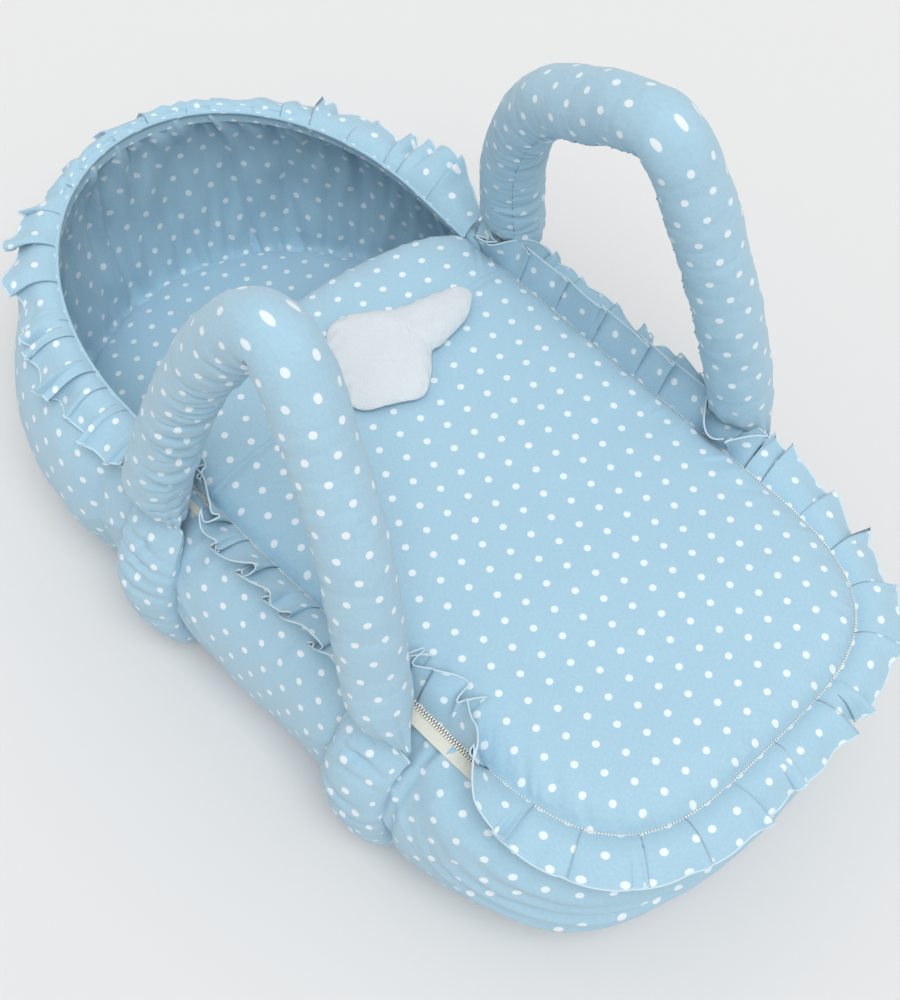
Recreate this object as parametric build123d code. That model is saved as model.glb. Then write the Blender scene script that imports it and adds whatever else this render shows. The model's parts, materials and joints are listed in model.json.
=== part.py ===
"""Soft carrying bassinet: a padded oval nest with two stuffed carrying handles and a zip-on padded cover.

Millimetres. +Z is up, +Y points to the head end and +X to the right-hand side as seen from the foot.
The origin is on the floor, under the middle of the nest.
"""

from build123d import *
import os
from math import atan2, cos, degrees, radians, sin

# ---- driving dimensions -------------------------------------------------------------
RIM_Z = 180.0            # height of the hinge line and of the zip's tape
WALL_TOP = 178.0         # top of the wall along the sides and the foot
HEAD_RISE = 40.0         # the rim climbs this much more by the head end
RISE_START_Y = 125.0     # where the climb starts
RIM_HEAD_Y = 370.0       # rim's middle line at the head end
RIM_HALF_WIDTH = 163.0   # rim's middle line at the sides
HEAD_TURN_Y = 168.0      # the sides are straight between these two stations
FOOT_TURN_Y = -173.0
FOOT_SQUARENESS = 0.867  # 0.552 gives an elliptical foot end, 1 a square one
SEAM_HALF_WIDTH = 160.0  # zip line
SEAM_FOOT_Y = -360.0

FABRIC = 4.0             # quilted outer cloth, and the lining
WALL = 22.0              # whole wall: outer cloth, foam, lining

BASE_THICKNESS = 10.0
BOARD_THICKNESS = 3.0
MATTRESS_TOP = 40.0
MATTRESS_COVER = 2.5
FIT_GAP = 0.3            # clearance between pieces that only rest on each other

HANDLE_X = 190.0         # hinge line of each handle
HANDLE_REAR_Y = 85.0
HANDLE_FRONT_Y = -162.0
HANDLE_RADIUS = 25.0
HANDLE_LEAN = 7.9        # degrees that each handle leans inwards at rest
TACK_RADIUS = 3.0        # rolled and stitched root that the handle folds about
WEBBING_HALF_WIDTH = 12.0
WEBBING_HALF_THICKNESS = 1.5

ZIP_HEAD_Y = 112.0       # head end of the zip, the same on both sides
TAPE_OUTER = 13.0        # offsets from the zip line
COIL_OUTER = 3.0
COIL_INNER = 0.9
TAPE_THICKNESS = 0.8
COIL_HEIGHT = 1.3

COVER_Z = RIM_Z + 1.6    # underside of the cover
COVER_HEAD_Y = 160.0
COVER_TURN_Y = 110.0
COVER_CROWN = 23.0
SLIDER_LOW = WALL_TOP + 1.1       # inside faces of the slider's two plates
SLIDER_HIGH = COVER_Z + COIL_HEIGHT + 0.7
HEM_Y = 65.0
HEM_WIDTH = 4.0

# Outer wall: height, half width, reach to the head, reach to the foot.
WALL_STATIONS = (
    (BASE_THICKNESS, 191.0, 354.0, 348.0),
    (42.0, 210.0, 373.0, 368.0),
    (80.0, 220.0, 384.0, 380.0),
    (118.0, 221.0, 387.0, 382.0),
    (152.0, 205.0, 385.0, 377.0),
    (WALL_TOP, 175.0, 381.0, 371.0),
    (WALL_TOP + HEAD_RISE + 8.0, 154.0, 374.0, 345.0),
)
# Middle line of a handle's stuffed lower leg, down the side of the wall: x, z, half thickness.
LEG_STATIONS = (
    (190.0, 173.5, 3.0),
    (199.0, 159.0, 9.0),
    (212.0, 138.0, 14.0),
    (221.5, 105.0, 15.5),
    (221.5, 70.0, 15.5),
    (210.0, 34.0, 14.0),
    (199.0, 15.0, 7.0),
)
LEG_HALF_WIDTH = 27.0
# Handle arch in its own leaning plane: y, height above the hinge line, half thickness.
ARCH_STATIONS = (
    (HANDLE_REAR_Y, 3.5, 3.0),
    (86.0, 22.0, 14.0),
    (85.0, 50.0, HANDLE_RADIUS),
    (75.0, 115.0, HANDLE_RADIUS),
    (54.0, 183.0, HANDLE_RADIUS),
    (20.0, 250.0, HANDLE_RADIUS),
    (-40.0, 298.0, HANDLE_RADIUS),
    (-85.0, 258.0, HANDLE_RADIUS),
    (-112.0, 198.0, HANDLE_RADIUS),
    (-133.0, 130.0, HANDLE_RADIUS),
    (-149.0, 60.0, HANDLE_RADIUS),
    (-157.0, 24.0, 14.0),
    (HANDLE_FRONT_Y, 3.5, 3.0),
)
ARCH_HALF_WIDTH = 26.0

SIDES = {"left": -1, "right": 1}
ROOTS = {"rear": HANDLE_REAR_Y, "front": HANDLE_FRONT_Y}


def outline(half_width, head_y, foot_reach, head_turn=HEAD_TURN_Y):
    """Closed wire of the nest's plan: elliptical head, straight sides, squarer foot."""
    depth = foot_reach + FOOT_TURN_Y
    corner_x = half_width * FOOT_SQUARENESS
    corner_y = FOOT_TURN_Y - depth * FOOT_SQUARENESS
    head = EllipticalCenterArc((0, head_turn), half_width, head_y - head_turn, start_angle=0, arc_size=180)
    foot = [
        Bezier((side * half_width, FOOT_TURN_Y), (side * half_width, corner_y),
               (side * corner_x, -foot_reach), (0, -foot_reach))
        for side in (-1, 1)
    ]
    right = Line((half_width, FOOT_TURN_Y), (half_width, head_turn))
    left = Line((-half_width, head_turn), (-half_width, FOOT_TURN_Y))
    return Wire([right, head, left, *foot])


def plan(half_width, head_y, foot_reach, z, head_turn=HEAD_TURN_Y):
    return Pos(0, 0, z) * make_face(outline(half_width, head_y, foot_reach, head_turn))


def slab(half_width, head_y, foot_reach, z, height, head_turn=HEAD_TURN_Y):
    return extrude(plan(half_width, head_y, foot_reach, z, head_turn), amount=height, dir=(0, 0, 1))


def bowl(inset):
    """Solid bounded by the outer wall, moved inwards by inset."""
    sections = [plan(w - inset, head - inset, foot - inset, z) for z, w, head, foot in WALL_STATIONS]
    return loft(sections, ruled=True)


def above_rim():
    """Solid that holds everything above the rim's two planes, for trimming."""
    far, top = 500.0, 400.0
    rise_z = WALL_TOP + HEAD_RISE * far / (RIM_HEAD_Y - RISE_START_Y)
    profile = Polyline(
        (-far, WALL_TOP), (RISE_START_Y, WALL_TOP), (RISE_START_Y + far, rise_z),
        (RISE_START_Y + far, top + far), (-far, top + far), close=True,
    )
    face = make_face(Plane.YZ * profile)
    return extrude(face, amount=far, both=True)


def on_head_slope(shape):
    """Carry a shape drawn about height zero onto the climbing head half of the rim."""
    slope = atan2(HEAD_RISE, RIM_HEAD_Y - RISE_START_Y)
    return Pos(0, RISE_START_Y, WALL_TOP) * Rot(X=degrees(slope)) * Pos(0, -RISE_START_Y, 0) * shape


def slice_y(shape, low, high):
    return shape & Pos(0, (low + high) / 2, 0) * Box(1200, high - low, 1200)


def half(shape, side):
    return shape & Pos(side * 300, 0, 0) * Box(600, 1200, 1200)


def stations_solid(points, half_width):
    """Loft of ellipses along a path in a plane; each point is (position, across, half thickness)."""
    sections = []
    for i, (position, across, thickness) in enumerate(points):
        before = points[max(i - 1, 0)][0]
        after = points[min(i + 1, len(points) - 1)][0]
        plane = Plane(origin=position, x_dir=across, z_dir=after - before)
        sections.append(plane * Ellipse(thickness, half_width))
    return loft(sections)


def leg(side, root_y):
    """Stuffed lower leg of a handle, sewn down the outside of the wall."""
    points = []
    for i, (x, z, thickness) in enumerate(LEG_STATIONS):
        before = LEG_STATIONS[max(i - 1, 0)]
        after = LEG_STATIONS[min(i + 1, len(LEG_STATIONS) - 1)]
        run = Vector(side * (after[0] - before[0]), 0, after[1] - before[1]).normalized()
        across = run.cross(Vector(0, 1, 0))
        points.append((Vector(side * x, root_y, z), across, thickness))
    return stations_solid(points, LEG_HALF_WIDTH)


def arch(side, half_width, thickness_limit):
    """Handle arch standing on its hinge line and leaning inwards."""
    lean = radians(HANDLE_LEAN)
    up = Vector(-side * sin(lean), 0, cos(lean))
    across = Vector(cos(lean), 0, side * sin(lean))
    root = Vector(side * HANDLE_X, 0, RIM_Z)
    points = [
        (root + Vector(0, y, 0) + up * height, across, min(thickness, thickness_limit))
        for y, height, thickness in ARCH_STATIONS
    ]
    return stations_solid(points, half_width)


def ring(inner, outer, z, height):
    """Flat band along the zip line, between two offsets from it, open at the head."""
    big = slab(SEAM_HALF_WIDTH + outer, COVER_HEAD_Y, -SEAM_FOOT_Y + outer, z, height, COVER_TURN_Y)
    small = slab(SEAM_HALF_WIDTH + inner, COVER_HEAD_Y, -SEAM_FOOT_Y + inner, z, height, COVER_TURN_Y)
    return slice_y(big - small, -500, ZIP_HEAD_Y - 2.5)


def cover_dome():
    """Padded cover: flat underneath, crowned above, with a rounded tongue towards the head."""
    steps = ((0.0, 0.0), (1.5, 7.0), (9.0, 14.0), (28.0, 20.0), (60.0, COVER_CROWN))
    sections = [
        plan(SEAM_HALF_WIDTH - 7.5 - inset, COVER_HEAD_Y - inset * 0.6, -SEAM_FOOT_Y - 7.5 - inset,
             COVER_Z + 1.5 + rise, COVER_TURN_Y - inset * 0.4)
        for inset, rise in steps
    ]
    return loft(sections, ruled=True)


def sloping_band(upper, lower, thickness):
    """Thin band between two plan outlines, each (half width, head, foot reach, z)."""
    outer = loft([plan(*lower), plan(*upper)])
    inner = loft([
        plan(width - thickness, head - thickness, foot - thickness, z)
        for width, head, foot, z in (lower, upper)
    ])
    return outer - inner


def head_frill():
    """Pleated frill that hangs outside the raised head half of the rim."""
    band = sloping_band((RIM_HALF_WIDTH + 13, RIM_HEAD_Y + 14, 340, 5.0),
                        (RIM_HALF_WIDTH + 48, RIM_HEAD_Y + 20, 370, -22.0), 3.0)
    return slice_y(on_head_slope(band), HANDLE_REAR_Y + 45, 500)


def foot_frill():
    """Pleated frill that stands out from the cover's edge round the foot."""
    band = sloping_band((SEAM_HALF_WIDTH - 2, RIM_HEAD_Y, -SEAM_FOOT_Y - 2, COVER_Z + 10.5),
                        (SEAM_HALF_WIDTH + 30, RIM_HEAD_Y, -SEAM_FOOT_Y + 29.5, COVER_Z - 5.5), 5.0)
    return slice_y(band, -500, HANDLE_FRONT_Y - 36)


def side_frill(side):
    """Frill folded inwards over the cover's edge, between the foot corner and the tongue."""
    base = COVER_Z + 1.5
    profile = Polyline(
        (side * 158.3, base + 6.0), (side * 157.0, base + 12.5), (side * 147.0, base + 18.5),
        (side * 128.0, base + 25.5), (side * 128.0, base + 22.5), (side * 147.0, base + 15.7),
        (side * 156.8, base + 8.0), close=True,
    )
    face = make_face(Plane.XZ * profile)
    return Pos(0, ZIP_HEAD_Y - 4, 0) * extrude(face, amount=ZIP_HEAD_Y - 4 - (HANDLE_FRONT_Y - 34), dir=(0, -1, 0))


def cloud():
    """Small stuffed cloud sewn on the cover: a straight foot and round lobes."""
    lobes = ((-48, 6, 31), (4, -22, 33), (46, 2, 25))
    body = Pos(0, 8) * RectangleRounded(126, 40, 17)
    for x, y, r in lobes:
        body += Pos(x, y) * Circle(r)
    solid = extrude(body, amount=20)
    return Pos(32, 70, COVER_Z + 1.5 + COVER_CROWN + FIT_GAP) * Rot(0, 0, -22) * solid


def zip_slider():
    """Slider body: top and bottom plates joined by a thin nose between the coils, and a bridge."""
    width, length, plate = 9.0, 11.0, 0.8
    height = SLIDER_HIGH - SLIDER_LOW
    top = Pos(0, 0, SLIDER_HIGH + plate / 2) * Box(width, length, plate)
    bottom = Pos(0, 0, SLIDER_LOW - plate / 2) * Box(width, length, plate)
    nose = Pos(0, length / 2 - 1, SLIDER_LOW + height / 2) * Box(1.1, 2, height)
    bridge = Pos(0, 0, SLIDER_HIGH + plate + 1.6) * Box(2.4, 7.0, 3.2)
    hole = Pos(0, 2.0, SLIDER_HIGH + plate + 1.6) * Rot(0, 90, 0) * Cylinder(1.1, 20)
    return Pos(SEAM_HALF_WIDTH, ZIP_HEAD_Y + 4, 0) * (top + bottom + nose + bridge - hole)


def zip_pull():
    """Pull tab: a pin through the slider's bridge, two arms and a flat tag with an eye."""
    pin = Rot(0, 90, 0) * Cylinder(0.75, 6.4)
    tag = Pos(0, 14.5, 0) * Box(6.4, 16, 1.4)
    arms = [Pos(x, 3.5, 0) * Box(1.4, 7, 1.4) for x in (-2.5, 2.5)]
    eye = Pos(0, 18.5, 0) * Cylinder(1.6, 4)
    shape = pin + tag + arms[0] + arms[1] - eye
    return Pos(SEAM_HALF_WIDTH, ZIP_HEAD_Y + 6, SLIDER_HIGH + 2.4) * shape


def rim_binding_head():
    """Bound edge that closes the wall's layers round the head half of the rim."""
    wide = slab(RIM_HALF_WIDTH + 8, RIM_HEAD_Y + 9, 340, 0, 6)
    narrow = slab(RIM_HALF_WIDTH - 6, RIM_HEAD_Y - 5, 330, 0, 6)
    return slice_y(on_head_slope(wide - narrow), HANDLE_REAR_Y + 57, 500)


parts = {}

# ---- the nest -----------------------------------------------------------------------
layers = {inset: bowl(inset) - above_rim() for inset in (0.0, FABRIC, WALL - FABRIC, WALL)}
outer_cloth = layers[0.0] - layers[FABRIC]
foam = layers[FABRIC] - layers[WALL - FABRIC]
lining = layers[WALL - FABRIC] - layers[WALL]
SIDE_LOW, SIDE_HIGH = FOOT_TURN_Y - 22, HEAD_TURN_Y - 20

parts["wall_cloth_foot"] = slice_y(outer_cloth, -500, SIDE_LOW)
parts["wall_cloth_head"] = slice_y(outer_cloth, SIDE_HIGH, 500)
for name, side in SIDES.items():
    cloth = half(slice_y(outer_cloth, SIDE_LOW, SIDE_HIGH), side)
    padding = half(foam, side)
    for root, root_y in ROOTS.items():
        stuffed_leg = leg(side, root_y)
        cloth -= stuffed_leg
        padding -= stuffed_leg
        parts[f"handle_leg_{name}_{root}"] = stuffed_leg
    parts[f"wall_cloth_{name}"] = cloth
    parts[f"wall_foam_{name}"] = padding
    parts[f"wall_lining_{name}"] = half(lining, side)

parts["base_panel"] = loft([plan(178, 343, 337, 0), plan(191, 354, 348, BASE_THICKNESS)], ruled=True)
parts["base_board"] = slab(162, 326, 320, BASE_THICKNESS, BOARD_THICKNESS)
core_z = BASE_THICKNESS + BOARD_THICKNESS + MATTRESS_COVER + FIT_GAP
core_top = MATTRESS_TOP - MATTRESS_COVER
core = slab(163, 328, 322, core_z, core_top - core_z)
skin = slab(163 + MATTRESS_COVER, 328 + MATTRESS_COVER, 322 + MATTRESS_COVER,
            core_z - MATTRESS_COVER, MATTRESS_TOP - core_z + MATTRESS_COVER)
parts["mattress_foam"] = core
parts["mattress_cover"] = skin - core
parts["rim_binding_head"] = rim_binding_head()
parts["rim_binding_foot"] = ring(5.2, TAPE_OUTER, WALL_TOP, RIM_Z - WALL_TOP)
parts["frill_head"] = head_frill()

# ---- handles ------------------------------------------------------------------------
for name, side in SIDES.items():
    roots = [
        Pos(side * HANDLE_X, y, RIM_Z) * Rot(90, 0, 0) * Cylinder(TACK_RADIUS, 2 * ARCH_HALF_WIDTH - 2)
        for y in ROOTS.values()
    ]
    webbing = arch(side, WEBBING_HALF_WIDTH, WEBBING_HALF_THICKNESS)
    sleeve = arch(side, ARCH_HALF_WIDTH, HANDLE_RADIUS)
    for root in roots:
        webbing -= root
        sleeve -= root
    parts[f"handle_webbing_{name}"] = webbing
    parts[f"handle_sleeve_{name}"] = sleeve - webbing
    parts[f"handle_tacks_{name}"] = Compound(children=roots)

# ---- zip ----------------------------------------------------------------------------
parts["zip_tape_nest"] = ring(COIL_OUTER, TAPE_OUTER, RIM_Z, TAPE_THICKNESS)
parts["zip_coil_nest"] = ring(COIL_INNER, COIL_OUTER, RIM_Z, COIL_HEIGHT)
parts["zip_tape_cover"] = ring(-TAPE_OUTER, -COIL_OUTER, COVER_Z, TAPE_THICKNESS)
parts["zip_coil_cover"] = ring(-COIL_OUTER, -COIL_INNER, COVER_Z, COIL_HEIGHT)
parts["zip_slider"] = zip_slider()
parts["zip_pull"] = zip_pull()

# ---- cover --------------------------------------------------------------------------
dome = cover_dome()
parts["cover_quilt"] = slice_y(dome, -500, HEM_Y - HEM_WIDTH / 2)
parts["cover_hem_tape"] = slice_y(dome, HEM_Y - HEM_WIDTH / 2, HEM_Y + HEM_WIDTH / 2)
parts["cover_flap"] = slice_y(dome, HEM_Y + HEM_WIDTH / 2, 500)
parts["cover_lining"] = slab(SEAM_HALF_WIDTH - TAPE_OUTER, COVER_HEAD_Y - 4,
                             -SEAM_FOOT_Y - TAPE_OUTER, COVER_Z, 1.5, COVER_TURN_Y)
parts["frill_foot"] = foot_frill()
for name, side in SIDES.items():
    parts[f"frill_side_{name}"] = side_frill(side)
parts["cloud_cushion"] = cloud()

os.makedirs("parts", exist_ok=True)
for name, shape in parts.items():
    export_step(shape, f"parts/{name}.step")
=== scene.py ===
"""Looks of the soft carrying bassinet: padded wall, mattress, zip-on cover, frills, handles, cloud cushion.

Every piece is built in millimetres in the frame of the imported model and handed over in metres.
+Y points to the head end, +X to the right as seen from the foot, +Z up from the floor.
"""

import json
import math

import bpy
import numpy as np
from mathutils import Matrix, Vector, noise


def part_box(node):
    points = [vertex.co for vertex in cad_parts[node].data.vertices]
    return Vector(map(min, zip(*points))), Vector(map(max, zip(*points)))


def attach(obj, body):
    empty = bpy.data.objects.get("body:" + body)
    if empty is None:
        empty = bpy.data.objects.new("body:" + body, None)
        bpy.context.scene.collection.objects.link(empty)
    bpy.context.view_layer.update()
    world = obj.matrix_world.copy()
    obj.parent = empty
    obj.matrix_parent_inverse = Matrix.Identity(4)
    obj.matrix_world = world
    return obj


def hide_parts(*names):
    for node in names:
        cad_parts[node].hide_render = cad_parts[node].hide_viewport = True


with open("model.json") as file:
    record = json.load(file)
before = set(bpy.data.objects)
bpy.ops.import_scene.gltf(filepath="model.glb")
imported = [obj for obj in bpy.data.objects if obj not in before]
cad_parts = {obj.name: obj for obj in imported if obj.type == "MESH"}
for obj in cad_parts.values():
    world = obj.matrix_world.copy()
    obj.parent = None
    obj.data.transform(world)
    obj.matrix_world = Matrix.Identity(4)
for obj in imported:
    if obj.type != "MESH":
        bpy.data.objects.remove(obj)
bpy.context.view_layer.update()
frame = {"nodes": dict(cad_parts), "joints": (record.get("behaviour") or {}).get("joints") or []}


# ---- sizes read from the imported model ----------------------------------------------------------
def box_mm(node):
    low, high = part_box(node)
    return np.array(low) * 1000, np.array(high) * 1000


RIM_Z = box_mm("zip_tape_nest")[0][2]
SEAM_W = box_mm("zip_coil_nest")[1][0] - 3.0
SEAM_FOOT = -box_mm("zip_coil_nest")[0][1] - 3.0
ZIP_HEAD_Y = box_mm("zip_coil_nest")[1][1]
TONGUE_Y = box_mm("cover_flap")[1][1]
HEM_Y = box_mm("cover_hem_tape")[0][1] + 2.0
COVER_TOP = box_mm("cover_quilt")[1][2]
HINGES = {j["child"]: np.array(j["pos_m"]) * 1000 for j in frame["joints"] if j["type"] == "hinge"}
HANDLE_X = HINGES["handle_right"][0]
REAR_Y = box_mm("handle_tacks_right")[1][1] - 25.0
FRONT_Y = box_mm("handle_tacks_right")[0][1] + 25.0
HANDLE_TOP = box_mm("handle_sleeve_right")[1][2]
HEAD_TURN = 168.0
FOOT_TURN = -173.0
RIM_HEAD = box_mm("rim_binding_head")[1][1] - 4.0
HEAD_RISE = 40.0
TONGUE_TURN = 110.0
DOT_STEP = (0.0213, 0.0369)
FRILL_ROWS = 15
HANDLE_LEAN = 7.9
SLEEVE_RADIUS = 25.5
CREASE_DEPTH = 21.0
TOOTH_PITCH = 2.4


# ---- small numeric helpers ---------------------------------------------------------------------
def smooth(x, low, high):
    """0 below low, 1 above high, and a smooth step between them."""
    t = np.clip((np.asarray(x, float) - low) / (high - low), 0, 1)
    return t * t * (3 - 2 * t)


def bump(x, centre, width):
    return np.exp(-(((np.asarray(x, float) - centre) / width) ** 2))


def catmull(points, values):
    """Smooth curve through points (rows), read at values from 0 to 1 along its rows."""
    p = np.asarray(points, float)
    p = np.vstack([2 * p[0] - p[1], p, 2 * p[-1] - p[-2]])
    x = np.clip(values, 0, 1) * (len(p) - 3)
    i = np.minimum(x.astype(int), len(p) - 4)
    t = (x - i)[:, None]
    a, b, c, d = p[i], p[i + 1], p[i + 2], p[i + 3]
    return 0.5 * (2 * b + (c - a) * t + (2 * a - 5 * b + 4 * c - d) * t**2 + (3 * b - a - 3 * c + d) * t**3)


def even(points, count):
    """The curve through points, resampled to count equal steps of its length."""
    fine = catmull(points, np.linspace(0, 1, 40 * len(points)))
    run = np.r_[0, np.cumsum(np.linalg.norm(np.diff(fine, axis=0), axis=1))]
    at = np.linspace(0, run[-1], count)
    return np.stack([np.interp(at, run, fine[:, k]) for k in range(fine.shape[1])], 1), at


def waves(points, size, seed, octaves=2):
    """Smooth seeded noise from -1 to 1 at each point, with features of that size in mm."""
    flat = np.asarray(points, float).reshape(-1, 3) / size + seed * 17.3
    out = np.zeros(len(flat))
    for o in range(octaves):
        out += np.array([noise.noise(Vector(p * 2**o)) for p in flat]) / 2**o
    return out.reshape(np.asarray(points).shape[:-1])


def gathers(along, down, total, pitch, width, height, reach, seed):
    """Short ridges that start at down = 0, spaced about pitch apart, and fade out within reach."""
    local = np.random.default_rng(seed)
    out = np.zeros(np.broadcast(along, down).shape)
    at = 0.0
    while at < total:
        at += pitch * local.uniform(0.55, 1.5)
        tall = height * local.uniform(0.3, 1.2) * local.choice([1, 1, -0.7])
        long = reach * local.uniform(0.4, 1.3)
        slant = local.normal(0, 0.12)
        off = (along - at - slant * down + total / 2) % total - total / 2
        spread = width * local.uniform(0.7, 1.3) * (1 + down / reach * 0.8)
        out += tall * np.exp(-((off / spread) ** 2)) * np.clip(1 - down / long, 0, 1) ** 1.3
    return out


def normals(grid, closed):
    """Unit normals of a grid of points; closed grids wrap along their second axis."""
    if closed:
        du = np.roll(grid, -1, 1) - np.roll(grid, 1, 1)
    else:
        du = np.gradient(grid, axis=1)
    n = np.cross(du, np.gradient(grid, axis=0))
    return n / np.maximum(np.linalg.norm(n, axis=2, keepdims=True), 1e-9)


def cloth_mesh(name, grid, uv, closed=False, cap_first=False, cap_last=False):
    """Smooth mesh of a grid of points in mm; uv in mm has one more column than a closed grid."""
    rows, cols = grid.shape[:2]
    verts = grid.reshape(-1, 3) / 1000
    faces, face_uv = [], []
    for r in range(rows - 1):
        for c in range(cols if closed else cols - 1):
            d = (c + 1) % cols
            faces.append((r * cols + c, r * cols + d, (r + 1) * cols + d, (r + 1) * cols + c))
            face_uv += [uv[r, c], uv[r, c + 1], uv[r + 1, c + 1], uv[r + 1, c]]
    if cap_first:
        faces.append(tuple(range(cols - 1, -1, -1)))
        face_uv += [uv[0, c] for c in range(cols - 1, -1, -1)]
    if cap_last:
        faces.append(tuple((rows - 1) * cols + c for c in range(cols)))
        face_uv += [uv[rows - 1, c] for c in range(cols)]
    data = bpy.data.meshes.new(name)
    data.from_pydata(verts.tolist(), [], faces)
    layer = data.uv_layers.new(name="cloth")
    layer.data.foreach_set("uv", (np.array(face_uv) / 1000).ravel())
    data.polygons.foreach_set("use_smooth", [True] * len(faces))
    data.update()
    obj = bpy.data.objects.new(name, data)
    bpy.context.scene.collection.objects.link(obj)
    return obj


# ---- cloth and other materials -----------------------------------------------------------------
def link(tree, source, target):
    tree.links.new(source, target)


def math_node(tree, kind, first, second=None):
    n = tree.nodes.new("ShaderNodeMath")
    n.operation = kind
    for socket, value in zip(n.inputs, (first, second)):
        if value is None:
            continue
        if isinstance(value, (int, float)):
            socket.default_value = value
        else:
            link(tree, value, socket)
    return n.outputs[0]


def vector_node(tree, kind, first, second=None):
    n = tree.nodes.new("ShaderNodeVectorMath")
    n.operation = kind
    link(tree, first, n.inputs[0])
    if second is not None:
        n.inputs[1].default_value = second
    return n.outputs["Value" if kind == "LENGTH" else "Vector"]


def blank(name, roughness, sheen):
    m = bpy.data.materials.new(name)
    m.use_nodes = True
    shader = m.node_tree.nodes["Principled BSDF"]
    shader.inputs["Roughness"].default_value = roughness
    shader.inputs["Sheen Weight"].default_value = sheen
    shader.inputs["Sheen Roughness"].default_value = 0.6
    return m, m.node_tree, shader


def weave_bump(tree, uv, shader, pitch, strength):
    """Crossing threads and a little slub as a bump on the cloth."""
    place = vector_node(tree, "MULTIPLY", uv, (1 / pitch, 1 / pitch, 0))
    parts = tree.nodes.new("ShaderNodeSeparateXYZ")
    link(tree, place, parts.inputs[0])
    warp = math_node(tree, "SINE", math_node(tree, "MULTIPLY", parts.outputs[0], 6.283))
    weft = math_node(tree, "SINE", math_node(tree, "MULTIPLY", parts.outputs[1], 6.283))
    slub = tree.nodes.new("ShaderNodeTexNoise")
    slub.inputs["Scale"].default_value = 420.0
    slub.inputs["Detail"].default_value = 3.0
    link(tree, uv, slub.inputs["Vector"])
    height = math_node(tree, "ADD", math_node(tree, "MULTIPLY", warp, weft), slub.outputs[0])
    n = tree.nodes.new("ShaderNodeBump")
    n.inputs["Strength"].default_value = strength
    n.inputs["Distance"].default_value = 0.0006
    link(tree, height, n.inputs["Height"])
    link(tree, n.outputs[0], shader.inputs["Normal"])
    return slub.outputs[0]


def dotted(name, base, dot, dot_radius=2.7):
    """Fine woven cotton printed with small round dots in a staggered lattice, sized in real mm."""
    m, tree, shader = blank(name, 0.86, 0.25)
    coords = tree.nodes.new("ShaderNodeUVMap")
    coords.uv_map = "cloth"
    uv = coords.outputs[0]
    nearest = None
    for shift in (0.0, 0.5):
        cell = vector_node(tree, "MULTIPLY", uv, (1 / DOT_STEP[0], 1 / DOT_STEP[1], 0))
        cell = vector_node(tree, "ADD", cell, (shift, shift, 0))
        cell = vector_node(tree, "FRACTION", cell)
        cell = vector_node(tree, "ADD", cell, (-0.5, -0.5, 0))
        cell = vector_node(tree, "MULTIPLY", cell, (DOT_STEP[0], DOT_STEP[1], 0))
        away = vector_node(tree, "LENGTH", cell)
        nearest = away if nearest is None else math_node(tree, "MINIMUM", nearest, away)
    slub = weave_bump(tree, uv, shader, 0.0009, 0.25)
    rough_edge = math_node(tree, "MULTIPLY_ADD", slub, 0.0009)
    rough_edge.node.inputs[2].default_value = -0.00045
    nearest = math_node(tree, "ADD", nearest, rough_edge)
    edge = tree.nodes.new("ShaderNodeMapRange")
    edge.inputs["From Min"].default_value = dot_radius / 1000 - 0.0003
    edge.inputs["From Max"].default_value = dot_radius / 1000 + 0.0003
    edge.inputs["To Min"].default_value = 1.0
    edge.inputs["To Max"].default_value = 0.0
    link(tree, nearest, edge.inputs["Value"])
    shade = tree.nodes.new("ShaderNodeMix")
    shade.data_type = "RGBA"
    shade.inputs["A"].default_value = (*[c * 0.90 for c in base], 1)
    shade.inputs["B"].default_value = (*[min(c * 1.08, 1) for c in base], 1)
    link(tree, slub, shade.inputs["Factor"])
    colour = tree.nodes.new("ShaderNodeMix")
    colour.data_type = "RGBA"
    link(tree, edge.outputs[0], colour.inputs["Factor"])
    link(tree, shade.outputs["Result"], colour.inputs["A"])
    colour.inputs["B"].default_value = (*dot, 1)
    link(tree, colour.outputs["Result"], shader.inputs["Base Color"])
    return m


def plain(name, base, pitch, strength, roughness=0.9, sheen=0.2, variation=0.06, metallic=0.0):
    """Undyed or single-coloured cloth, tape or metal with a fine grain."""
    m, tree, shader = blank(name, roughness, sheen)
    shader.inputs["Metallic"].default_value = metallic
    coords = tree.nodes.new("ShaderNodeTexCoord")
    slub = weave_bump(tree, coords.outputs["Object"], shader, pitch, strength)
    shade = tree.nodes.new("ShaderNodeMix")
    shade.data_type = "RGBA"
    shade.inputs["A"].default_value = (*[c * (1 - variation) for c in base], 1)
    shade.inputs["B"].default_value = (*[min(c * (1 + variation), 1) for c in base], 1)
    link(tree, slub, shade.inputs["Factor"])
    link(tree, shade.outputs["Result"], shader.inputs["Base Color"])
    return m


BLUE = (0.375, 0.585, 0.715)
PALE = (0.60, 0.76, 0.84)
COTTON = dotted("dotted_cotton", BLUE, (0.78, 0.86, 0.90))
FLEECE = plain("white_fleece", (0.71, 0.77, 0.81), 0.0016, 0.5, sheen=0.4, variation=0.04)
TAPE = plain("zip_tape", (0.78, 0.76, 0.66), 0.0012, 0.4)
COIL = plain("zip_coil", (0.80, 0.78, 0.70), 0.002, 0.1, roughness=0.45, sheen=0.0)
EDGE = plain("folded_edge", PALE, 0.0009, 0.3)
THREAD = plain("dark_thread", (0.16, 0.27, 0.36), 0.001, 0.3)
METAL = plain("zip_metal", (0.72, 0.72, 0.73), 0.01, 0.02, roughness=0.28, sheen=0.0, metallic=1.0)


def dress(obj, material, slot, body, *nodes):
    obj.data.materials.clear()
    obj.data.materials.append(material)
    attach(obj, body)
    if nodes:
        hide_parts(*nodes)
    return obj


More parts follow.
